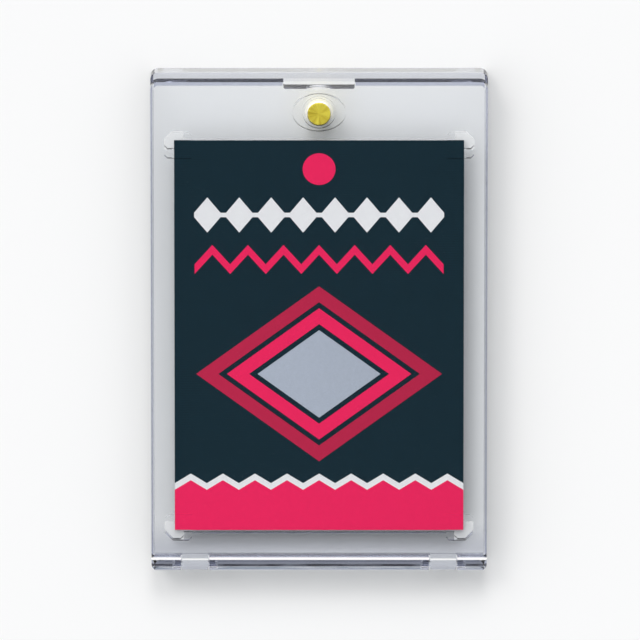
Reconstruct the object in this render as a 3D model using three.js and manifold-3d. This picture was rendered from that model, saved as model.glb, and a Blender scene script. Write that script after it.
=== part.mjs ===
// A hinged clear case for one trading card, closed by two disc magnets, with a printed backing card inside.
// Millimetres. +Z points out of the front face, +Y towards the magnet end. The case lies on its back, with its
// origin under the middle of the base.
import * as THREE from "three";
import { mergeVertices } from "three/addons/utils/BufferGeometryUtils.js";
import Module from "manifold-3d";

// Card, and how far the case reaches past it
const cardWidth = 63.5;
const cardHeight = 88.9;
const cardThickness = 0.4;
const sideMargin = 5.15;
const hingeMargin = 5.1;
const magnetMargin = 13.9;
const topLedge = 1.5;

// Case walls and edges
const baseThickness = 3.8;
const coverThickness = 3.7;
const partingGap = 0.1;
const cornerRadius = 1.8;
const hingeCornerRadius = 0.8;
const edgeChamfer = 0.6;

// Hinge
const hingeClearance = 0.3;
const railSink = 0.1;
const slotFloorGap = 0.25;
const knuckleInset = 0.05;
const slotWidth = 6.3;
const slotFromSide = 9.6;
const knuckleSideGap = 0.3;
const pinRadius = 0.75;
const pinLength = 1.6;
const pinRadialGap = 0.1;
const pinEndGap = 0.3;

// Well that the card lies in
const wellClearance = 0.5;
const wellDepthInBase = 0.6;
const wellDepthInCover = 0.5;
const reliefOutset = 1.65;
const reliefSideInBase = 4.1;
const reliefSideInCover = 5.9;
const reliefChamfer = 1.75;
const reliefTipRadius = 0.7;
const reliefExtraDepth = 0.45;

// Magnets, the oval boss that carries the front one and the oval seat for it in the base
const magnetRadius = 2.5;
const magnetThickness = 2;
const magnetEdgeRound = 0.2;
const magnetRadialGap = 0.15;
const magnetFromTop = 7.35;
const mouthStep = 1.15;
const mouthDepth = 0.8;
const bossSideWall = 2.1;
const bossEndWall = 0.5;
const bossHeight = 0.6;
const bossClearance = 0.2;

// Thumb notch in the cover's free edge
const notchWidth = 15.6;
const notchDepth = 1.35;
const notchCornerRadius = 0.4;

// Play under what lies in a seat: the card in its well, each magnet in its bore
const seatPlay = 0.05;

// Printed fields, from the foot of the card up
const inkThickness = 0.05;
const footHeight = 9.25;
const footTeeth = 9;
const toothHeight = 2.2;
const toothEdge = 1.5;
const diamondHalfHeight = 10;
const diamondAspect = 1.35;
const frameBand = 3.6;
const frameGap = 1.4;
const zigzagStroke = 2.2;
const zigzagRise = 4.4;
const zigzagTeeth = 7;
const zigzagPitch = 7.8;
const lozengeCount = 8;
const lozengePitch = 7;
const lozengeHalfWidth = 3.3;
const lozengeHalfHeight = 4;
const lozengeLine = 0.5;
const discRadius = 3.6;

// Facets of round forms
const circleSteps = 48;
const ovalSteps = 56;
const cornerSteps = 8;

// Heights, worked out from the sizes above
const caseThickness = baseThickness + partingGap + coverThickness;
const coverInner = baseThickness + partingGap;
const wellFloor = baseThickness - wellDepthInBase;
const wellRoof = coverInner + wellDepthInCover;
const cardBottom = wellFloor + seatPlay;
const cardFace = cardBottom + cardThickness;
const bossFace = coverInner - bossHeight;
const bossSeat = bossFace - bossClearance;
const mouthFloor = bossFace + mouthDepth;

// The hinge rail fills the height between the cover's face and the gap under the knuckles
const railRadius = (coverThickness + partingGap - railSink - slotFloorGap + knuckleInset) / 2;
const knuckleRadius = railRadius - knuckleInset;
const knuckleWidth = slotWidth - 2 * knuckleSideGap;
const hingeZ = caseThickness - railSink - railRadius;

// Plan
const caseWidth = cardWidth + 2 * sideMargin;
const coverLength = hingeMargin + cardHeight + magnetMargin;
const baseLength = 2 * railRadius + hingeClearance + coverLength + topLedge;
const halfWidth = caseWidth / 2;
const halfLength = baseLength / 2;
const hingeY = railRadius - halfLength;
const coverBottomY = hingeY + railRadius + hingeClearance;
const coverTopY = coverBottomY + coverLength;
const cardY = coverBottomY + hingeMargin + cardHeight / 2;
const magnetY = coverTopY - magnetFromTop;
const slotX = halfWidth - slotFromSide;
const wellHalfWidth = cardWidth / 2 + wellClearance;
const wellHalfHeight = cardHeight / 2 + wellClearance;
const boreRadius = magnetRadius + magnetRadialGap;
const mouthRadius = magnetRadius + mouthStep;
const overcut = 5;

// Materials
const clearPlastic = { color: 0xe6ebf0, roughness: 0.05, metalness: 0, transparent: true, opacity: 0.3 };
const goldPlate = { color: 0xc9b23a, roughness: 0.25, metalness: 1 };
const darkInk = { color: 0x152c35, roughness: 0.6, metalness: 0 };
const pinkInk = { color: 0xf0356b, roughness: 0.6, metalness: 0 };
const crimsonInk = { color: 0xc4234f, roughness: 0.6, metalness: 0 };
const whiteInk = { color: 0xf6f6f6, roughness: 0.6, metalness: 0 };
const greyInk = { color: 0xc3cad6, roughness: 0.6, metalness: 0 };

const wasm = await Module();
wasm.setup();

// From a closed geometry to a solid that can be joined and cut, and back

function solid(geometry) {
  const bare = geometry.index ? geometry.toNonIndexed() : geometry.clone();
  bare.deleteAttribute("normal");
  bare.deleteAttribute("uv");
  const merged = mergeVertices(bare, 1e-4);
  return new wasm.Manifold(
    new wasm.Mesh({
      numProp: 3,
      vertProperties: merged.attributes.position.array,
      triVerts: new Uint32Array(merged.index.array),
    }),
  );
}

function geometryOf(made) {
  const mesh = made.getMesh();
  const geometry = new THREE.BufferGeometry();
  geometry.setAttribute("position", new THREE.BufferAttribute(mesh.vertProperties, 3));
  geometry.setIndex(new THREE.BufferAttribute(mesh.triVerts, 1));
  const faceted = geometry.toNonIndexed();
  faceted.computeVertexNormals();
  return faceted;
}

// Outlines

function outlineThrough(points) {
  return new THREE.Shape(points.map(([x, y]) => new THREE.Vector2(x, y)));
}

function rectangle(left, right, bottom, top) {
  return outlineThrough([
    [left, bottom],
    [right, bottom],
    [right, top],
    [left, top],
  ]);
}

function roundedRectangle(left, right, bottom, top, bottomRadius, topRadius) {
  const outline = new THREE.Shape();
  outline.absarc(right - bottomRadius, bottom + bottomRadius, bottomRadius, -Math.PI / 2, 0);
  outline.absarc(right - topRadius, top - topRadius, topRadius, 0, Math.PI / 2);
  outline.absarc(left + topRadius, top - topRadius, topRadius, Math.PI / 2, Math.PI);
  outline.absarc(left + bottomRadius, bottom + bottomRadius, bottomRadius, Math.PI, Math.PI * 1.5);
  return outline;
}

function circle(x, y, radius) {
  return new THREE.Shape().absarc(x, y, radius, 0, Math.PI * 2);
}

// Prisms

function uprightPrism(outline, low, high, steps = cornerSteps) {
  const depth = high - low;
  const prism = new THREE.ExtrudeGeometry(outline, { depth, bevelEnabled: false, curveSegments: steps });
  return solid(prism.translate(0, 0, low));
}

// A plate whose outer edges are chamfered at both faces.
function chamferedPlate(outline, low, high) {
  const plate = new THREE.ExtrudeGeometry(outline, {
    depth: high - low - 2 * edgeChamfer,
    bevelThickness: edgeChamfer,
    bevelSize: edgeChamfer,
    bevelOffset: -edgeChamfer,
    bevelSegments: 1,
    curveSegments: cornerSteps,
  });
  return solid(plate.translate(0, 0, low + edgeChamfer));
}

// A prism along X. Its outline is drawn with Y to the right and Z up.
function crosswisePrism(outline, left, right, steps = circleSteps / 2) {
  const depth = right - left;
  const prism = new THREE.ExtrudeGeometry(outline, { depth, bevelEnabled: false, curveSegments: steps });
  const turned = new THREE.Matrix4().makeBasis(
    new THREE.Vector3(0, 1, 0),
    new THREE.Vector3(0, 0, 1),
    new THREE.Vector3(1, 0, 0),
  );
  return solid(prism.applyMatrix4(turned).translate(left, 0, 0));
}

function hingeRod(radius, left, right) {
  return crosswisePrism(circle(hingeY, hingeZ, radius), left, right);
}

// The card's well, with a relief at each corner so that the corners of the card touch nothing

function cornerRelief(sideX, sideY, side) {
  const far = reliefOutset;
  const near = reliefOutset - side;
  const points = [
    [near, near],
    [near, far - reliefTipRadius],
    [near + reliefTipRadius, far],
    [far - reliefChamfer, far],
    [far, far - reliefChamfer],
    [far, near + reliefTipRadius],
    [far - reliefTipRadius, near],
  ];
  const place = ([x, y]) => [sideX * (wellHalfWidth + x), cardY + sideY * (wellHalfHeight + y)];
  return outlineThrough(points.map(place));
}

function cardWell(low, high, reliefLow, reliefHigh, reliefSide) {
  const plan = rectangle(-wellHalfWidth, wellHalfWidth, cardY - wellHalfHeight, cardY + wellHalfHeight);
  let well = uprightPrism(plan, low, high);
  for (const sideX of [-1, 1])
    for (const sideY of [-1, 1])
      well = well.add(uprightPrism(cornerRelief(sideX, sideY, reliefSide), reliefLow, reliefHigh));
  return well;
}

// Columns on the magnets' axis

function ovalColumn(margin, low, high) {
  const reachX = mouthRadius + bossSideWall + margin;
  const reachY = mouthRadius + bossEndWall + margin;
  const oval = new THREE.Shape().absellipse(0, magnetY, reachX, reachY, 0, Math.PI * 2);
  return uprightPrism(oval, low, high, ovalSteps / 2);
}

function roundColumn(radius, low, high) {
  return uprightPrism(circle(0, magnetY, radius), low, high, circleSteps / 2);
}

// The base: a flat tray with the card's well, the oval seat and, along its lower end, the hinge rails

function railProfile() {
  const rail = new THREE.Shape();
  rail.moveTo(hingeY - railRadius, 0);
  rail.lineTo(hingeY + railRadius, 0);
  rail.absarc(hingeY, hingeZ, railRadius, 0, Math.PI);
  return rail;
}

function hingeRails() {
  const inner = slotX - slotWidth / 2;
  const outer = slotX + slotWidth / 2;
  return crosswisePrism(railProfile(), -inner, inner)
    .add(crosswisePrism(railProfile(), outer, halfWidth))
    .add(crosswisePrism(railProfile(), -halfWidth, -outer));
}

function pinSockets() {
  const radius = pinRadius + pinRadialGap;
  const reach = knuckleWidth / 2 + pinLength + pinEndGap;
  return hingeRod(radius, slotX - reach, slotX + reach).add(hingeRod(radius, -slotX - reach, -slotX + reach));
}

function baseTray() {
  const plan = roundedRectangle(-halfWidth, halfWidth, -halfLength, halfLength, cornerRadius, cornerRadius);
  const slab = rectangle(-halfWidth, halfWidth, -halfLength, halfLength);
  const above = baseThickness + overcut;
  return uprightPrism(slab, 0, baseThickness)
    .add(hingeRails())
    .intersect(chamferedPlate(plan, 0, caseThickness))
    .subtract(pinSockets())
    .subtract(cardWell(wellFloor, above, wellFloor - reliefExtraDepth, above, reliefSideInBase))
    .subtract(ovalColumn(bossClearance, bossSeat, above))
    .subtract(roundColumn(boreRadius, bossSeat - magnetThickness - seatPlay, above));
}

// The cover: a flat lid with the rest of the well, the oval boss, a thumb notch and two hinge knuckles with pins

function knuckle(middle) {
  const left = middle - knuckleWidth / 2;
  const right = middle + knuckleWidth / 2;
  const neck = rectangle(hingeY, coverBottomY + edgeChamfer, hingeZ - knuckleRadius, hingeZ + knuckleRadius);
  return hingeRod(knuckleRadius, left, right)
    .add(crosswisePrism(neck, left, right))
    .add(hingeRod(pinRadius, left - pinLength, right + pinLength));
}

function thumbNotch() {
  const half = notchWidth / 2;
  const floor = coverTopY - notchDepth;
  const plan = roundedRectangle(-half, half, floor, coverTopY + overcut, notchCornerRadius, notchCornerRadius);
  return uprightPrism(plan, bossFace, caseThickness + overcut);
}

function frontCover() {
  const plan = roundedRectangle(-halfWidth, halfWidth, coverBottomY, coverTopY, hingeCornerRadius, cornerRadius);
  const below = rectangle(-caseWidth, caseWidth, -baseLength, baseLength);
  return chamferedPlate(plan, 0, caseThickness)
    .subtract(uprightPrism(below, -overcut, coverInner))
    .add(knuckle(-slotX))
    .add(knuckle(slotX))
    .add(ovalColumn(0, bossFace, wellRoof))
    .subtract(cardWell(bossFace, wellRoof, bossFace, wellRoof + reliefExtraDepth, reliefSideInCover))
    .subtract(roundColumn(mouthRadius, bossFace - overcut, mouthFloor))
    .subtract(roundColumn(boreRadius, bossFace - overcut, mouthFloor + magnetThickness + seatPlay))
    .subtract(thumbNotch());
}

// A disc magnet with rounded rims, turned from its profile

function discMagnet() {
  const rim = magnetRadius - magnetEdgeRound;
  const profile = new THREE.Path();
  profile.moveTo(0, 0);
  profile.lineTo(rim, 0);
  profile.absarc(rim, magnetEdgeRound, magnetEdgeRound, -Math.PI / 2, 0);
  profile.absarc(rim, magnetThickness - magnetEdgeRound, magnetEdgeRound, 0, Math.PI / 2);
  profile.lineTo(0, magnetThickness);
  return new THREE.LatheGeometry(profile.getPoints(3), circleSteps).rotateX(Math.PI / 2);
}

// Outlines of the printed fields, about the card's middle

// A band across the card between two levels, with a saw-toothed top and on request a like bottom.
function toothedBand(bottom, top, toothedBottom) {
  const half = cardWidth / 2;
  const pitch = cardWidth / footTeeth;
  const teeth = (level) => {
    const points = [[-half, level]];
    for (let i = 0; i < footTeeth; i += 1) {
      const x = -half + i * pitch;
      points.push([x + pitch / 2, level + toothHeight], [x + pitch, level]);
    }
    return points;
  };
  const straight = [
    [-half, bottom],
    [half, bottom],
  ];
  return outlineThrough([...(toothedBottom ? teeth(bottom) : straight), ...teeth(top).reverse()]);
}

function diamond(halfHeight, y) {
  const reach = halfHeight * diamondAspect;
  return outlineThrough([
    [0, y - halfHeight],
    [reach, y],
    [0, y + halfHeight],
    [-reach, y],
  ]);
}

function diamondFrame(halfHeight, y) {
  const frame = diamond(halfHeight, y);
  frame.holes.push(diamond(halfHeight - frameBand, y));
  return frame;
}

// A ribbon of constant upright width that goes up and down.
function zigzag(bottom) {
  const steps = 2 * zigzagTeeth;
  const left = (-zigzagTeeth * zigzagPitch) / 2;
  const lower = [];
  for (let i = 0; i <= steps; i += 1) lower.push([left + (i * zigzagPitch) / 2, bottom + (i % 2) * zigzagRise]);
  const upper = lower.map(([x, y]) => [x, y + zigzagStroke]).reverse();
  return outlineThrough([...lower, ...upper]);
}

// Lozenges in a row, joined at their side corners by a thin line.
function lozengeChain(y) {
  const joint = lozengeHalfWidth * (1 - lozengeLine / lozengeHalfHeight);
  const start = (-lozengePitch * (lozengeCount - 1)) / 2;
  const upper = [];
  for (let i = 0; i < lozengeCount; i += 1) {
    const x = start + i * lozengePitch;
    upper.push([x - joint, lozengeLine], [x, lozengeHalfHeight], [x + joint, lozengeLine]);
  }
  const lower = upper.map(([x, rise]) => [x, -rise]).reverse();
  return outlineThrough([...upper, ...lower].map(([x, rise]) => [x, y + rise]));
}

// The rows of print, with equal gaps between them and above the last

function printedFields() {
  const pinkFrame = diamondHalfHeight + frameGap + frameBand;
  const crimsonFrame = pinkFrame + frameGap + frameBand;
  const rows = [
    footHeight + toothHeight + toothEdge,
    2 * crimsonFrame,
    zigzagRise + zigzagStroke,
    2 * lozengeHalfHeight,
    2 * discRadius,
  ];
  const gap = (cardHeight - rows.reduce((sum, height) => sum + height)) / rows.length;
  const bottoms = [-cardHeight / 2];
  for (const height of rows) bottoms.push(bottoms.at(-1) + height + gap);
  const [footBottom, emblemBottom, zigzagBottom, chainBottom, discBottom] = bottoms;
  const footTop = footBottom + footHeight;
  const emblemY = emblemBottom + crimsonFrame;
  return [
    ["print_foot", toothedBand(footBottom, footTop, false), pinkInk],
    ["print_foot_edge", toothedBand(footTop, footTop + toothEdge, true), whiteInk],
    ["print_diamond", diamond(diamondHalfHeight, emblemY), greyInk],
    ["print_inner_frame", diamondFrame(pinkFrame, emblemY), pinkInk],
    ["print_outer_frame", diamondFrame(crimsonFrame, emblemY), crimsonInk],
    ["print_zigzag", zigzag(zigzagBottom), pinkInk],
    ["print_lozenges", lozengeChain(chainBottom + lozengeHalfHeight), whiteInk],
    ["print_disc", circle(0, discBottom + discRadius, discRadius), pinkInk],
  ];
}

// The parts, named and placed

const cardHolder = new THREE.Group();

function place(name, geometry, look, x, y, z) {
  const mesh = new THREE.Mesh(geometry, new THREE.MeshStandardMaterial(look));
  mesh.name = name;
  mesh.position.set(x, y, z);
  cardHolder.add(mesh);
}

place("base_tray", geometryOf(baseTray()), clearPlastic, 0, 0, 0);
place("front_cover", geometryOf(frontCover()), clearPlastic, 0, 0, 0);
place("back_magnet", discMagnet(), goldPlate, 0, magnetY, bossSeat - magnetThickness);
place("front_magnet", discMagnet(), goldPlate, 0, magnetY, mouthFloor);

const card = new THREE.BoxGeometry(cardWidth, cardHeight, cardThickness);
place("backing_card", card, darkInk, 0, cardY, cardBottom + cardThickness / 2);
for (const [name, outline, ink] of printedFields()) {
  const options = { depth: inkThickness, bevelEnabled: false, curveSegments: circleSteps / 2 };
  place(name, new THREE.ExtrudeGeometry(outline, options), ink, 0, cardY, cardFace);
}

export default cardHolder;
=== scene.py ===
import math

import bmesh
import bpy
from mathutils import Matrix, Vector


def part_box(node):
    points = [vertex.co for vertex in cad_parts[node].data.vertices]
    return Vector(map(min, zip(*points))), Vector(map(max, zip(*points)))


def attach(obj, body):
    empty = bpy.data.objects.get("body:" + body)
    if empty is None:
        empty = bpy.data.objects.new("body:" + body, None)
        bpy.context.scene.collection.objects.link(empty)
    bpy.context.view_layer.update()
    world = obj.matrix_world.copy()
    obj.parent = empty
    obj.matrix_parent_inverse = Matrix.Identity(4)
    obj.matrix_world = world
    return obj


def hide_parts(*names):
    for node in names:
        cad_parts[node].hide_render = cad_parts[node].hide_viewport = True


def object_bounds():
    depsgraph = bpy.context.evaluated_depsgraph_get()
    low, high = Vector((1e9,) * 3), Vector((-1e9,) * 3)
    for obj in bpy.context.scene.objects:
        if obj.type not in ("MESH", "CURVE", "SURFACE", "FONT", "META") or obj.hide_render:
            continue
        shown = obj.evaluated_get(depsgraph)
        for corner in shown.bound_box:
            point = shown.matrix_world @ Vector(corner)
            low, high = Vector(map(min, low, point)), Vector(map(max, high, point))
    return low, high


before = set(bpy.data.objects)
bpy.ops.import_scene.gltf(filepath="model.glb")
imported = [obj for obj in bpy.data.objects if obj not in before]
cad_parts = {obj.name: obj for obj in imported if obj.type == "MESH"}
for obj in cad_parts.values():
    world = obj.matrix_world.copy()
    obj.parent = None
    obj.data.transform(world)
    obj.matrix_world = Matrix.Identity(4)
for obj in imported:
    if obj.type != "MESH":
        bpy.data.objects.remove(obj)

# A hinged clear trading card case that lies on its back on a pale floor, seen from above its magnet end.
# Metres, in the model's own frame: +Z out of the case's front, +Y towards its magnet end.

MM = 0.001
cad_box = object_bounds()
case_low, case_high = cad_box
card_low, card_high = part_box("backing_card")
magnet_low, magnet_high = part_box("front_magnet")

# The photograph's view: its picture's side and scale, the camera's tilt and distance, and where the case lies
PHOTO_SIDE_PX = 640
PX_PER_MM = 4.551
VIEW_TILT = math.radians(16)
VIEW_DISTANCE = 4.0
CASE_MIDDLE_PX = 319.1
COVER_TOP_PX = 83.5
COVER_EDGE_DROP = 0.6 * MM
SENSOR_MM = 36.0
CLIP_END = 100.0

# The room: its colours by the sine of the height above the horizon, and how far they lean to one side
SKIRTING = (0.06, 0.06, 0.09)
WALL = (1.04, 1.05, 1.07)
CEILING = (0.04, 0.041, 0.044)
STUDIO_COLOURS = ((0.0, SKIRTING), (0.1, SKIRTING), (0.24, WALL), (0.66, WALL), (0.9, CEILING))
STUDIO_LEAN = (-0.36, 0.34, 0)

# The two soft suns: strength, softness, height above the horizon, the side they stand on, and colour
KEY = (0.8, math.radians(26), math.radians(41), (-0.62, 0.78), (1.0, 0.985, 0.965))
EDGE = (1.15, math.radians(22), math.radians(36), (0, 1), (1.0, 1.0, 1.0))

# The floor
FLOOR_HALF = 3.0
FLOOR_DROP = 0.02 * MM
FLOOR_COLOUR = (0.955, 0.955, 0.95)

# Joining of the moulded parts' triangles
MERGE_WITHIN = 0.002 * MM
SMOOTH_BELOW = math.radians(12)

# Clear plastic: its faces, and the painted shade, a dark lavender tint, on its sloped faces and along its
# outer walls, as linear light
ACRYLIC_IOR = 1.49
PLASTIC_TINT = (0.98, 0.988, 1.0)
PLASTIC_EDGE_PAINTED_SHADE = (0.27, 0.29, 0.41)
PLASTIC_FACE_SHADE = (0.985, 0.988, 0.99)
PLASTIC_SIDE_SHADE = (0.34, 0.35, 0.36)
MATT_WHITE = (0.97, 0.97, 0.96)
INSIDE_CLEARNESS = 0.7
LEVEL_SLOPES = (0.74, 0.98)
HAZE_SCALE = 90.0
HAZE_ROUGHNESS = (0.004, 0.03)
WAVE_SCALE = 35.0
WAVE_HEIGHT = 0.02 * MM
WAVE_STRENGTH = 0.1

# The strip of painted shade along the outer walls: its width at the sides and at an end, and how much of the
# painted shade its level faces show
RIM_WIDTH = 0.65 * MM
RIM_END = 2.2 * MM
RIM_DEPTH = 0.34

# The side chamfers, which are spared the painted shade but for their outermost line, which keeps it: measured
# inwards from the case's side
CHAMFER_WIDTH = 0.75 * MM
CHAMFER_FADE = (0.55 * MM, 0.36 * MM)
CHAMFER_CLEARNESS = 0.75
CHAMFER_SLOPE = 0.5

# The thumb notch in the cover, whose walls take less painted shade: half width, the height above which its
# walls stand, and where it starts
NOTCH_HALF = 8.0 * MM
NOTCH_BOTTOM = 3.85 * MM
NOTCH_START = 53.2 * MM
NOTCH_CLEARNESS = 0.55

# The matt floors of the well's corner reliefs, from the card's middle, and the heights between which they lie
RELIEF_MIDDLE = (31.85 * MM, 44.55 * MM)
RELIEF_HALF = 2.1 * MM
RELIEF_CORNER = 78.9 * MM
RELIEF_HEIGHTS = (1.0 * MM, 4.2 * MM)
RELIEF_SLOPE = 0.9
RELIEF_MATT = 0.6

# A white crescent in the front magnet's seat: radii, half height, the stretch over which it fades in, and
# strength
SEAT_CRESCENT_RADII = (2.6 * MM, 3.1 * MM)
SEAT_CRESCENT_HEIGHT = 1.25 * MM
SEAT_CRESCENT_FADE = (-1.6 * MM, 0.2 * MM)
SEAT_CRESCENT_WHITE = 0.9

# Painted light on the tray's end wall at the magnet end: its share of matt white, and how far in from the end
# it reaches
END_WALL_PAINTED_LIGHT = 0.36
END_WALL_PAINTED_LIGHT_DEPTH = 0.25 * MM

# The hinge: its axis, its knuckles, and how far its pins reach to either side of a knuckle's middle
HINGE_Y = case_low[1] + 1.75 * MM
HINGE_Z = 5.75 * MM
KNUCKLE_X = 27.3 * MM
KNUCKLE_HALF = 3.15 * MM
KNUCKLE_BACK = 2.2 * MM
KNUCKLE_CLEARNESS = 0.66
PIN_REACH = 5.0 * MM

# The strip between the card and the hinge, where painted shade deepens the tint: its reach from the hinge's
# axis, and how deep the painted shade goes
HINGE_SHADE_REACH = (9.0 * MM, 3.5 * MM)
HINGE_SHADE_DEPTH = 0.2

# Painted reflections along the hinge rails, dark and blue lines that stand in for what the round rails mirror
# and refract: middle, half width, colour and strength of each
RAIL_PAINTED_DARK_LINE = (0.02, 0.016, 0.018)
RAIL_PAINTED_BLUE_LINE = (0.1, 0.14, 0.2)
RAIL_PAINTED_REFLECTION_LINES = (
    (HINGE_Y - 0.1 * MM, 0.4 * MM, RAIL_PAINTED_DARK_LINE, 1.0),
    (HINGE_Y - 0.8 * MM, 0.42 * MM, RAIL_PAINTED_BLUE_LINE, 1.0),
    (HINGE_Y + 0.75 * MM, 0.3 * MM, RAIL_PAINTED_BLUE_LINE, 0.5),
)
RAIL_REFLECTION_LINE_CORE = 0.3
RAIL_REFLECTION_STREAK_SCALE = 600.0
RAIL_REFLECTION_STREAK_STRETCH = (0.2, 1.0, 1.0)
# Painted highlights along the shoulders of the rails and knuckles: middle, half width and strength of each
# pale matt line
PAINTED_HIGHLIGHT_LINES = (
    (HINGE_Y + 1.22 * MM, 0.27 * MM, 0.9),
    (HINGE_Y - 1.55 * MM, 0.2 * MM, 0.7),
)
PAINTED_HIGHLIGHT_CORE = 0.55

# Gold plate: its colours, of which the deeper one is painted reflection, the fine turned rings as radians in
# a metre, and the scale of the painted reflection's wedges around its middle
GOLD = (1.0, 0.85, 0.1)
GOLD_PAINTED_REFLECTION_DARK = (0.6, 0.46, 0.03)
GOLD_METALLIC = 0.25
GOLD_ANISOTROPIC = 0.75
GOLD_ROUGHNESS = (0.22, 0.36)
GOLD_REFLECTION_WEDGES = 2.2
TURNED_RINGS = 16000.0
TURNED_DEPTH = 0.002 * MM

# The printed card: its colours, the ruled lines of its stock, and its paper
CARD_TEAL = (0.006, 0.026, 0.039)
INK_PINK = (0.95, 0.02, 0.12)
INK_CRIMSON = (0.56, 0.02, 0.075)
INK_WHITE = (0.88, 0.88, 0.89)
INK_GREY = (0.48, 0.53, 0.62)
INK_DEEPENING = 0.72
RULING = 2 * math.pi / (0.55 * MM)
SHADE_REACH = 30 * MM
FIBRE_SCALE = 2600.0
FIBRE_HEIGHT = 0.01 * MM
PAPER_ROUGHNESS = 0.55
PAPER_SHEEN = 0.15


# Shader nodes

def new_material(name):
    material = bpy.data.materials.new(name)
    material.use_nodes = True
    material.node_tree.nodes.clear()
    return material, material.node_tree


def add(tree, kind, **settings):
    node = tree.nodes.new(kind)
    for key, value in settings.items():
        setattr(node, key, value)
    return node


def feed(tree, value, socket):
    """Wires a node's output to a socket, or sets the socket to a plain value."""
    if isinstance(value, bpy.types.NodeSocket):
        tree.links.new(value, socket)
    else:
        socket.default_value = value


def finish_with(tree, surface):
    end = add(tree, "ShaderNodeOutputMaterial")
    feed(tree, surface, end.inputs["Surface"])


def object_position(tree):
    return add(tree, "ShaderNodeTexCoord").outputs["Object"]


def axes(tree, vector):
    """The three parts of a vector, by letter."""
    node = add(tree, "ShaderNodeSeparateXYZ")
    feed(tree, vector, node.inputs["Vector"])
    return node.outputs


def noise(tree, position, scale, detail):
    texture = add(tree, "ShaderNodeTexNoise")
    texture.inputs["Scale"].default_value = scale
    texture.inputs["Detail"].default_value = detail
    feed(tree, position, texture.inputs["Vector"])
    return texture.outputs["Fac"]


def mapped(tree, value, from_low, from_high, to_low, to_high):
    node = add(tree, "ShaderNodeMapRange")
    node.inputs["From Min"].default_value = from_low
    node.inputs["From Max"].default_value = from_high
    node.inputs["To Min"].default_value = to_low
    node.inputs["To Max"].default_value = to_high
    feed(tree, value, node.inputs["Value"])
    return node.outputs["Result"]


def arithmetic(tree, operation, *values):
    node = add(tree, "ShaderNodeMath", operation=operation)
    for value, socket in zip(values, node.inputs):
        feed(tree, value, socket)
    return node.outputs["Value"]


def vector_sum(tree, operation, *values):
    """The node of a sum with vectors, which has a vector and a number to read."""
    node = add(tree, "ShaderNodeVectorMath", operation=operation)
    for value, socket in zip(values, node.inputs):
        feed(tree, value, socket)
    return node.outputs


def product(tree, first, *others):
    for other in others:
        first = arithmetic(tree, "MULTIPLY", first, other)
    return first


def largest(tree, first, *others):
    for other in others:
        first = arithmetic(tree, "MAXIMUM", first, other)
    return first


def more_than(tree, value, limit):
    return arithmetic(tree, "GREATER_THAN", value, limit)


def less_than(tree, value, limit):
    return arithmetic(tree, "LESS_THAN", value, limit)


def size_of(tree, value):
    return arithmetic(tree, "ABSOLUTE", value)


def away_from(tree, value, middle):
    return size_of(tree, arithmetic(tree, "SUBTRACT", value, middle))


def mixed_colour(tree, factor, first, second):
    """A mix of two colours, of which the first may be a node's output."""
    node = add(tree, "ShaderNodeMix", data_type="RGBA")
    feed(tree, factor, node.inputs["Factor"])
    for colour, letter in ((first, "A"), (second, "B")):
        feed(tree, (*colour, 1) if isinstance(colour, tuple) else colour, node.inputs[letter])
    return node.outputs["Result"]


def mixed_surface(tree, factor, first, second):
    node = add(tree, "ShaderNodeMixShader")
    feed(tree, factor, node.inputs["Fac"])
    feed(tree, first, node.inputs[1])
    feed(tree, second, node.inputs[2])
    return node.outputs["Shader"]


def matt(tree, colour):
    surface = add(tree, "ShaderNodeBsdfDiffuse")
    surface.inputs["Color"].default_value = (*colour, 1)
    return surface.outputs["BSDF"]


def bump(tree, height, distance, strength):
    node = add(tree, "ShaderNodeBump")
    node.inputs["Distance"].default_value = distance
    node.inputs["Strength"].default_value = strength
    feed(tree, height, node.inputs["Height"])
    return node.outputs["Normal"]


# Clear plastic: where each stretch of the case takes painted shade or painted highlights, stays clear or is
# matt

def outer_rim(tree, place, at_hinge):
    """1 in the strip along the case's side walls and one of its end walls, and 0 further in."""
    sides = more_than(tree, size_of(tree, place["X"]), case_high[0] - RIM_WIDTH)
    if at_hinge:
        end = less_than(tree, place["Y"], case_low[1] + RIM_END)
    else:
        end = more_than(tree, place["Y"], case_high[1] - RIM_END)
    return largest(tree, sides, end)


def inner_chamfer(tree, place, slope):
    """How far the side chamfers are spared the painted shade, but for their outermost line."""
    beside = size_of(tree, place["X"])
    edge = case_high[0]
    clear = mapped(tree, beside, edge - CHAMFER_FADE[0], edge - CHAMFER_FADE[1], CHAMFER_CLEARNESS, 0.0)
    outer = more_than(tree, beside, edge - CHAMFER_WIDTH)
    return product(tree, clear, outer, more_than(tree, slope, CHAMFER_SLOPE))


def thumb_notch(tree, place):
    """How far the walls of the thumb notch are spared the painted shade."""
    across = less_than(tree, size_of(tree, place["X"]), NOTCH_HALF)
    above = more_than(tree, place["Z"], NOTCH_BOTTOM)
    near_end = more_than(tree, place["Y"], NOTCH_START)
    return product(tree, across, above, near_end, NOTCH_CLEARNESS)


def painted_hinge_shade(tree, place):
    """Painted shade: the deeper tint of the strip between the card and the hinge."""
    return mapped(tree, place["Y"], HINGE_Y + HINGE_SHADE_REACH[0], HINGE_Y + HINGE_SHADE_REACH[1], 0.0, HINGE_SHADE_DEPTH)


def beside_knuckle(tree, place, reach, amount):
    """An amount within a reach of either knuckle's middle along the hinge, and 0 elsewhere."""
    beside = away_from(tree, size_of(tree, place["X"]), KNUCKLE_X)
    near = less_than(tree, beside, reach)
    low = less_than(tree, place["Y"], HINGE_Y + KNUCKLE_BACK)
    return product(tree, near, low, amount)


def painted_highlight_lines(tree, place):
    """Painted highlights: pale matt lines along the shoulders of the hinge rails and knuckles."""
    total = 0.0
    for middle, width, strength in PAINTED_HIGHLIGHT_LINES:
        away = away_from(tree, place["Y"], middle)
        line = mapped(tree, away, PAINTED_HIGHLIGHT_CORE * width, width, strength, 0.0)
        total = arithmetic(tree, "ADD", total, line)
    return product(tree, total, more_than(tree, place["Z"], HINGE_Z))


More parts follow.
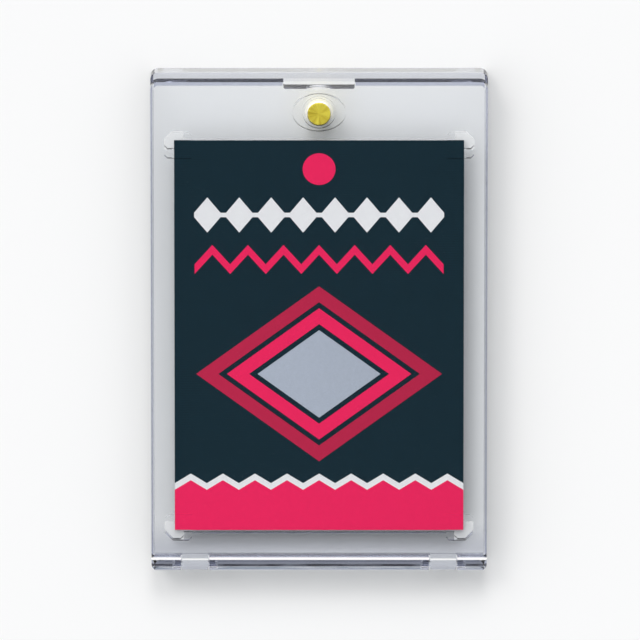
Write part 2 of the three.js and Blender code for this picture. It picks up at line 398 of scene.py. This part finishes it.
def painted_rail_reflections(tree, position, place, tint):
    """The tint with painted reflections: dark and blue lines along the rails, away from the pins, that stand
    in for what the round rails mirror and refract.
    """
    stretched = add(tree, "ShaderNodeMapping", vector_type="POINT")
    stretched.inputs["Scale"].default_value = RAIL_REFLECTION_STREAK_STRETCH
    feed(tree, position, stretched.inputs["Vector"])
    streaks = mapped(tree, noise(tree, stretched.outputs["Vector"], RAIL_REFLECTION_STREAK_SCALE, 3.0), 0.3, 0.55, 0.35, 1.0)
    away_from_pins = arithmetic(tree, "SUBTRACT", 1.0, beside_knuckle(tree, place, PIN_REACH, 1.0))
    presence = product(tree, away_from_pins, streaks, more_than(tree, place["Z"], HINGE_Z))
    for middle, width, colour, strength in RAIL_PAINTED_REFLECTION_LINES:
        away = away_from(tree, place["Y"], middle)
        line = mapped(tree, away, RAIL_REFLECTION_LINE_CORE * width, width, strength, 0.0)
        tint = mixed_colour(tree, product(tree, line, presence), tint, colour)
    return tint


def relief_floors(tree, place, levelness):
    """A faint matt finish on the level floors of the four corner reliefs in the well."""
    beside = size_of(tree, place["X"])
    along = away_from(tree, place["Y"], (card_low.y + card_high.y) / 2)
    mask = more_than(tree, levelness, RELIEF_SLOPE)
    for reach, middle in zip((beside, along), RELIEF_MIDDLE):
        mask = product(tree, mask, less_than(tree, away_from(tree, reach, middle), RELIEF_HALF))
    corner = less_than(tree, arithmetic(tree, "ADD", beside, along), RELIEF_CORNER)
    above = more_than(tree, place["Z"], RELIEF_HEIGHTS[0])
    below = less_than(tree, place["Z"], RELIEF_HEIGHTS[1])
    return product(tree, mask, corner, above, below, RELIEF_MATT)


def from_axis(tree, position, middle):
    """The offset from a magnet's middle, and the same laid level."""
    offset = vector_sum(tree, "SUBTRACT", position, middle)["Vector"]
    return offset, vector_sum(tree, "MULTIPLY", offset, (1, 1, 0))["Vector"]


def magnet_seat(tree, position):
    """A white crescent in the front magnet's seat, on the side of the case's end."""
    offset, level = from_axis(tree, position, (magnet_low + magnet_high) / 2)
    radius = vector_sum(tree, "LENGTH", level)["Value"]
    away = axes(tree, offset)
    within = less_than(tree, radius, SEAT_CRESCENT_RADII[1])
    beyond = more_than(tree, radius, SEAT_CRESCENT_RADII[0])
    beside = less_than(tree, size_of(tree, away["Z"]), SEAT_CRESCENT_HEIGHT)
    return product(tree, within, beyond, beside, mapped(tree, away["Y"], *SEAT_CRESCENT_FADE, 0.0, SEAT_CRESCENT_WHITE))


def painted_end_wall_light(tree, place):
    """Painted light: a share of matt white on the tray's end wall at the magnet end."""
    return product(tree, more_than(tree, place["Y"], case_high[1] - END_WALL_PAINTED_LIGHT_DEPTH), END_WALL_PAINTED_LIGHT)


# Materials

def clear_plastic(name, has_hinge):
    """Clear acrylic, with painted shade on its sloped faces and outer walls. The tray's carries painted
    reflection lines along the hinge rails, the lid's has a white crescent in the front magnet's seat.
    """
    material, tree = new_material(name)
    position = object_position(tree)
    place = axes(tree, position)
    geometry = add(tree, "ShaderNodeNewGeometry").outputs
    slope = size_of(tree, axes(tree, geometry["True Normal"])["Z"])
    levelness = mapped(tree, slope, *LEVEL_SLOPES, 0.0, 1.0)

    rim = product(tree, outer_rim(tree, place, False), RIM_DEPTH)
    clearness = arithmetic(tree, "SUBTRACT", levelness, rim)
    # Painted shade deepens the tint in the strip between the card and the hinge
    clearness = arithmetic(tree, "SUBTRACT", clearness, painted_hinge_shade(tree, place))
    chamfer = inner_chamfer(tree, place, slope)
    knuckle = beside_knuckle(tree, place, KNUCKLE_HALF, KNUCKLE_CLEARNESS)
    clearness = largest(tree, clearness, chamfer, thumb_notch(tree, place), knuckle)
    # Painted shade: sloped faces and the strip along the outer walls take a dark lavender tint that stands in
    # for the dark refractions at the case's edges; chamfers, notch and knuckles are partly spared
    tint = mixed_colour(tree, clearness, PLASTIC_EDGE_PAINTED_SHADE, PLASTIC_TINT)
    if has_hinge:
        # Painted reflections: dark and blue lines along the hinge rails
        tint = painted_rail_reflections(tree, position, place, tint)

    glass = add(tree, "ShaderNodeBsdfPrincipled")
    glass.inputs["Transmission Weight"].default_value = 1.0
    glass.inputs["IOR"].default_value = ACRYLIC_IOR
    haze = mapped(tree, noise(tree, position, HAZE_SCALE, 4.0), 0.35, 0.75, *HAZE_ROUGHNESS)
    feed(tree, haze, glass.inputs["Roughness"])
    waves = bump(tree, noise(tree, position, WAVE_SCALE, 2.0), WAVE_HEIGHT, WAVE_STRENGTH)
    feed(tree, waves, glass.inputs["Normal"])
    feed(tree, tint, glass.inputs["Base Color"])

    reliefs = relief_floors(tree, place, levelness)
    # Matt white on the reliefs' floors, painted highlights on the hinge shoulders and painted light on the
    # magnet-end wall
    pale = largest(tree, reliefs, painted_highlight_lines(tree, place), painted_end_wall_light(tree, place))
    if not has_hinge:
        pale = largest(tree, pale, magnet_seat(tree, position))
    seen = mixed_surface(tree, pale, glass.outputs["BSDF"], matt(tree, MATT_WHITE))

    # Light on its way to or from a matt surface passes straight through, and is dimmed by the outer walls
    straight = add(tree, "ShaderNodeBsdfTransparent")
    from_inside = product(tree, geometry["Backfacing"], INSIDE_CLEARNESS)
    further_in = arithmetic(tree, "SUBTRACT", 1.0, outer_rim(tree, place, True))
    passing = largest(tree, levelness, from_inside, further_in)
    feed(tree, mixed_colour(tree, passing, PLASTIC_SIDE_SHADE, PLASTIC_FACE_SHADE), straight.inputs["Color"])
    path = add(tree, "ShaderNodeLightPath").outputs
    lights = largest(tree, path["Is Shadow Ray"], path["Is Diffuse Ray"])
    finish_with(tree, mixed_surface(tree, lights, seen, straight.outputs["BSDF"]))
    return material


def turned_gold(middle):
    """Gold plate over turned metal, with fine rings, and painted reflection: wedges of deeper gold around the
    middle, as a turned face mirrors.
    """
    material, tree = new_material("turned_gold_plate")
    offset, level = from_axis(tree, object_position(tree), middle)
    around = vector_sum(tree, "CROSS_PRODUCT", offset, (0, 0, 1))["Vector"]
    radius = vector_sum(tree, "LENGTH", offset)["Value"]
    rings = arithmetic(tree, "SINE", product(tree, radius, TURNED_RINGS))
    direction = vector_sum(tree, "NORMALIZE", level)["Vector"]
    # Painted reflection: wedges of deeper gold around the middle, as a turned face mirrors
    reflection_wedges = mapped(tree, noise(tree, direction, GOLD_REFLECTION_WEDGES, 1.0), 0.4, 0.6, 0.0, 1.0)
    metal = add(tree, "ShaderNodeBsdfPrincipled")
    metal.inputs["Metallic"].default_value = GOLD_METALLIC
    metal.inputs["Anisotropic"].default_value = GOLD_ANISOTROPIC
    feed(tree, mixed_colour(tree, reflection_wedges, GOLD, GOLD_PAINTED_REFLECTION_DARK), metal.inputs["Base Color"])
    feed(tree, mapped(tree, reflection_wedges, 0.3, 0.7, *GOLD_ROUGHNESS), metal.inputs["Roughness"])
    feed(tree, bump(tree, rings, TURNED_DEPTH, 0.3), metal.inputs["Normal"])
    feed(tree, around, metal.inputs["Tangent"])
    finish_with(tree, metal.outputs["BSDF"])
    return material


def printed_paper(name, colour, ruling=0.0, gradient=0.0):
    """Ink on card, which may have fine ruled lines and may deepen towards the right."""
    material, tree = new_material(name)
    position = object_position(tree)
    place = axes(tree, position)
    fibre = noise(tree, position, FIBRE_SCALE, 2.0)
    shade = mapped(tree, fibre, 0.25, 0.75, 0.0, 0.35)
    if ruling:
        lines = arithmetic(tree, "SINE", product(tree, place["Y"], ruling))
        shade = arithmetic(tree, "ADD", shade, mapped(tree, lines, -1.0, 1.0, 0.0, 0.6))
    if gradient:
        slope = mapped(tree, place["X"], -SHADE_REACH, SHADE_REACH, 0.0, gradient)
        shade = arithmetic(tree, "ADD", shade, slope)
    deep = tuple(part * INK_DEEPENING for part in colour)
    paper = add(tree, "ShaderNodeBsdfPrincipled")
    feed(tree, mixed_colour(tree, shade, colour, deep), paper.inputs["Base Color"])
    paper.inputs["Roughness"].default_value = PAPER_ROUGHNESS
    paper.inputs["Specular IOR Level"].default_value = PAPER_SHEEN
    feed(tree, bump(tree, fibre, FIBRE_HEIGHT, 0.3), paper.inputs["Normal"])
    finish_with(tree, paper.outputs["BSDF"])
    return material


def pale_floor():
    material, tree = new_material("pale_floor")
    finish_with(tree, matt(tree, FLOOR_COLOUR))
    return material


# Pieces

def finished_copy(node_name, piece_name, material):
    """A copy of a node, with its triangles joined and its round walls smooth, which stands for that node."""
    shape = bmesh.new()
    shape.from_mesh(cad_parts[node_name].data)
    bmesh.ops.remove_doubles(shape, verts=shape.verts, dist=MERGE_WITHIN)
    shape.verts.index_update()
    points = [vertex.co[:] for vertex in shape.verts]
    faces = [[vertex.index for vertex in face.verts] for face in shape.faces]
    shape.free()
    mesh = bpy.data.meshes.new(piece_name)
    mesh.from_pydata(points, [], faces)
    mesh.materials.append(material)
    mesh.shade_smooth()
    mesh.set_sharp_from_angle(angle=SMOOTH_BELOW)
    piece = bpy.data.objects.new(piece_name, mesh)
    bpy.context.scene.collection.objects.link(piece)
    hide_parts(node_name)
    return piece


def give(node_name, material):
    """Gives a node that stays as it is its finish."""
    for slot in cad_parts[node_name].material_slots:
        slot.material = material


def moulded_parts():
    """The tray, and the lid that turns on its hinge."""
    tray = finished_copy("base_tray", "tray", clear_plastic("clear_tray_plastic", True))
    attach(tray, "base")
    lid = finished_copy("front_cover", "lid", clear_plastic("clear_lid_plastic", False))
    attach(lid, "cover")


def magnets():
    gold = turned_gold((magnet_low + magnet_high) / 2)
    give("front_magnet", gold)
    give("back_magnet", gold)


def printed_card():
    """The card's stock and the fields of print on it."""
    give("backing_card", printed_paper("card_stock", CARD_TEAL, ruling=RULING))
    pink = printed_paper("pink_ink", INK_PINK, gradient=0.15)
    for name in ("print_foot", "print_inner_frame", "print_zigzag", "print_disc"):
        give(name, pink)
    give("print_outer_frame", printed_paper("crimson_ink", INK_CRIMSON, gradient=0.4))
    white = printed_paper("white_ink", INK_WHITE)
    give("print_foot_edge", white)
    give("print_lozenges", white)
    give("print_diamond", printed_paper("grey_ink", INK_GREY, gradient=0.5))


# The stage

def floor():
    corners = [(x * FLOOR_HALF, y * FLOOR_HALF, -FLOOR_DROP) for x, y in ((-1, -1), (1, -1), (1, 1), (-1, 1))]
    mesh = bpy.data.meshes.new("floor")
    mesh.from_pydata(corners, [], [(0, 1, 2, 3)])
    mesh.materials.append(pale_floor())
    piece = bpy.data.objects.new("floor", mesh)
    bpy.context.scene.collection.objects.link(piece)


def studio_world():
    """White walls between a dark skirting, which draws the clear edges, and a dim ceiling, so that the case's
    flat front mirrors little light. The walls are brighter at the far left, where the key stands."""
    world = bpy.data.worlds.new("studio")
    bpy.context.scene.world = world
    world.use_nodes = True
    tree = world.node_tree
    tree.nodes.clear()
    sky = add(tree, "ShaderNodeTexCoord").outputs["Generated"]
    colours = add(tree, "ShaderNodeValToRGB")
    ramp = colours.color_ramp
    while len(ramp.elements) < len(STUDIO_COLOURS):
        ramp.elements.new(1.0)
    for stop, (height, colour) in zip(ramp.elements, STUDIO_COLOURS):
        stop.position = height
        stop.color = (*colour, 1)
    feed(tree, axes(tree, sky)["Z"], colours.inputs["Fac"])
    lean = vector_sum(tree, "DOT_PRODUCT", sky, STUDIO_LEAN)["Value"]
    light = add(tree, "ShaderNodeBackground")
    feed(tree, colours.outputs["Color"], light.inputs["Color"])
    feed(tree, arithmetic(tree, "ADD", lean, 1.0), light.inputs["Strength"])
    end = add(tree, "ShaderNodeOutputWorld")
    feed(tree, light.outputs["Background"], end.inputs["Surface"])


def soft_sun(name, strength, softness, height, side, colour):
    """A soft sun at a height above the horizon on one side, which no clear or polished face mirrors."""
    lamp = bpy.data.lights.new(name, "SUN")
    lamp.energy = strength
    lamp.angle = softness
    lamp.color = colour
    flat = Vector((*side, 0)).normalized() * math.cos(height)
    towards = flat + Vector((0, 0, math.sin(height)))
    sun = bpy.data.objects.new(name, lamp)
    sun.visible_glossy = False
    sun.visible_transmission = False
    sun.rotation_euler = towards.to_track_quat("Z", "Y").to_euler()
    bpy.context.scene.collection.objects.link(sun)


def camera():
    """A long lens at the photograph's angle, with the cover's top edge where the photograph has it."""
    back = Vector((0, math.sin(VIEW_TILT), math.cos(VIEW_TILT)))
    up = Vector((0, math.cos(VIEW_TILT), -math.sin(VIEW_TILT)))
    across = Vector((1, 0, 0))
    low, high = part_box("front_cover")
    edge = Vector((0, high.y, high.z - COVER_EDGE_DROP))
    middle_px = PHOTO_SIDE_PX / 2
    aim_up = edge.dot(up) - (middle_px - COVER_TOP_PX) / PX_PER_MM * MM
    aim_across = (middle_px - CASE_MIDDLE_PX) / PX_PER_MM * MM
    aim = across * aim_across + up * aim_up
    lens = bpy.data.cameras.new("photo_view")
    lens.sensor_width = SENSOR_MM
    lens.lens = SENSOR_MM * VIEW_DISTANCE / (PHOTO_SIDE_PX / PX_PER_MM * MM)
    lens.clip_end = CLIP_END
    view = bpy.data.objects.new("photo_view", lens)
    turn = Matrix((across, up, back)).transposed().to_4x4()
    view.matrix_world = Matrix.Translation(aim + back * VIEW_DISTANCE) @ turn
    bpy.context.scene.collection.objects.link(view)
    bpy.context.scene.camera = view


def deep_light_paths(cycles):
    """Enough bounces for light that crosses both mouldings and turns back inside them."""
    cycles.max_bounces = 32
    cycles.transmission_bounces = 32
    cycles.glossy_bounces = 12
    cycles.transparent_max_bounces = 32


bpy.context.scene.view_settings.view_transform = "Standard"
deep_light_paths(bpy.context.scene.cycles)

camera()
studio_world()
soft_sun("key", *KEY)
soft_sun("edge", *EDGE)
floor()

moulded_parts()
magnets()
printed_card()
